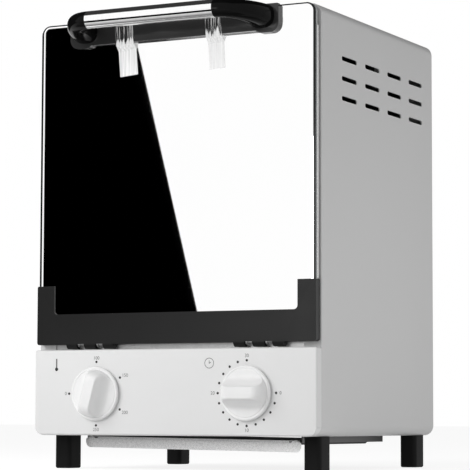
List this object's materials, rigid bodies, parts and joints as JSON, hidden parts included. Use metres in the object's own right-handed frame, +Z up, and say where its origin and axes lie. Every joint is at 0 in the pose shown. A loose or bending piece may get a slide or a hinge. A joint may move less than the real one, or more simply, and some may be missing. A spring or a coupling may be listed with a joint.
{
  "type": "dry heat sterilizer",
  "caption": "Small upright oven with a drop-down mirror glass door, a bar handle, a control panel with thermostat and timer knobs, racks and a crumb tray.",
  "frame": {"origin": "on the bench, under the middle of the bounding box", "axes": "+Z up, -Y towards the front (door and knobs), +X to the right seen from the front"},
  "size_m": [0.24, 0.2624, 0.3443],
  "materials": {
    "white_paint": "semi-gloss white paint",
    "panel_paint": "satin white paint with printed scales",
    "zinc_steel": "zinc plated",
    "liner": "aluminised sheet",
    "stainless": "brushed stainless steel",
    "grip_chrome": "polished tube",
    "black_plastic": "gloss black moulding",
    "trim_plastic": "satin black moulding",
    "knob_plastic": "gloss white moulding",
    "rubber": "black rubber",
    "mirror_glass": "dark mirror-like glass",
    "tape": "clear film",
    "ceramic": "unglazed ceramic",
    "brass": "bare brass",
    "chromed_wire": "plated wire"
  },
  "bodies": {
    "housing": {"outer_housing": "white_paint", "control_panel": "panel_paint", "back_panel": "white_paint", "base_plate": "zinc_steel", "back_screws": "zinc_steel", "panel_screws": "zinc_steel", "inner_chamber": "liner", "control_shield": "liner", "heater_upper_front": "stainless", "heater_upper_rear": "stainless", "heater_lower_front": "stainless", "heater_lower_rear": "stainless", "heater_bushes": "ceramic", "thermostat_body": "ceramic", "timer_body": "zinc_steel", "timer_bell": "brass", "terminal_block": "ceramic", "cord_bush": "rubber", "foot_front_left": "rubber", "foot_front_right": "rubber", "foot_rear_left": "rubber", "foot_rear_right": "rubber", "foot_screws": "zinc_steel", "foot_nuts": "zinc_steel", "tray_rail_left": "zinc_steel", "tray_rail_right": "zinc_steel", "hinge_bracket_left": "zinc_steel", "hinge_bracket_right": "zinc_steel", "hinge_pin_left": "zinc_steel", "hinge_pin_right": "zinc_steel", "hinge_spring_left": "zinc_steel", "hinge_spring_right": "zinc_steel"},
    "door": {"door_glass": "mirror_glass", "door_trim": "trim_plastic", "trim_screws": "zinc_steel", "door_strip_left": "stainless", "door_strip_right": "stainless", "handle_plate": "black_plastic", "handle_arm_left": "black_plastic", "handle_arm_right": "black_plastic", "handle_grip": "grip_chrome", "handle_screws": "zinc_steel", "handle_washers": "knob_plastic", "tape_strips": "tape"},
    "thermostat": {"thermostat_knob": "knob_plastic", "thermostat_shaft": "zinc_steel"},
    "timer": {"timer_knob": "knob_plastic", "timer_shaft": "zinc_steel"},
    "crumb_tray": {"crumb_tray": "liner"},
    "wire_rack": {"wire_rack": "chromed_wire"},
    "instrument_tray": {"instrument_tray": "stainless"}
  },
  "joints": [
    {"name": "door_hinge", "type": "hinge", "parent": "housing", "child": "door", "pos_m": [0, -0.08575, 0.095], "axis": [1, 0, 0], "range_deg": [0, 90], "stiffness_Nm_per_rad": 0.06, "springref_deg": -68.75},
    {"name": "thermostat_turn", "type": "hinge", "parent": "housing", "child": "thermostat", "pos_m": [-0.065, -0.09035, 0.0571], "axis": [0, 1, 0], "range_deg": [-110, 160]},
    {"name": "timer_turn", "type": "hinge", "parent": "housing", "child": "timer", "pos_m": [0.0633, -0.09035, 0.0571], "axis": [0, 1, 0], "range_deg": [0, 270]},
    {"name": "crumb_tray_slide", "type": "slide", "parent": "housing", "child": "crumb_tray", "axis": [0, -1, 0], "range_m": [0, 0.13]},
    {"name": "wire_rack_slide", "type": "slide", "parent": "housing", "child": "wire_rack", "axis": [0, -1, 0], "range_m": [0, 0.087]},
    {"name": "instrument_tray_slide", "type": "slide", "parent": "housing", "child": "instrument_tray", "axis": [0, -1, 0], "range_m": [0, 0.087]}
  ],
  "couplings": [
    {"joint": "wire_rack_slide", "follows": "door_hinge", "m_per_rad": 0.055},
    {"joint": "instrument_tray_slide", "follows": "door_hinge", "m_per_rad": 0.055}
  ]
}
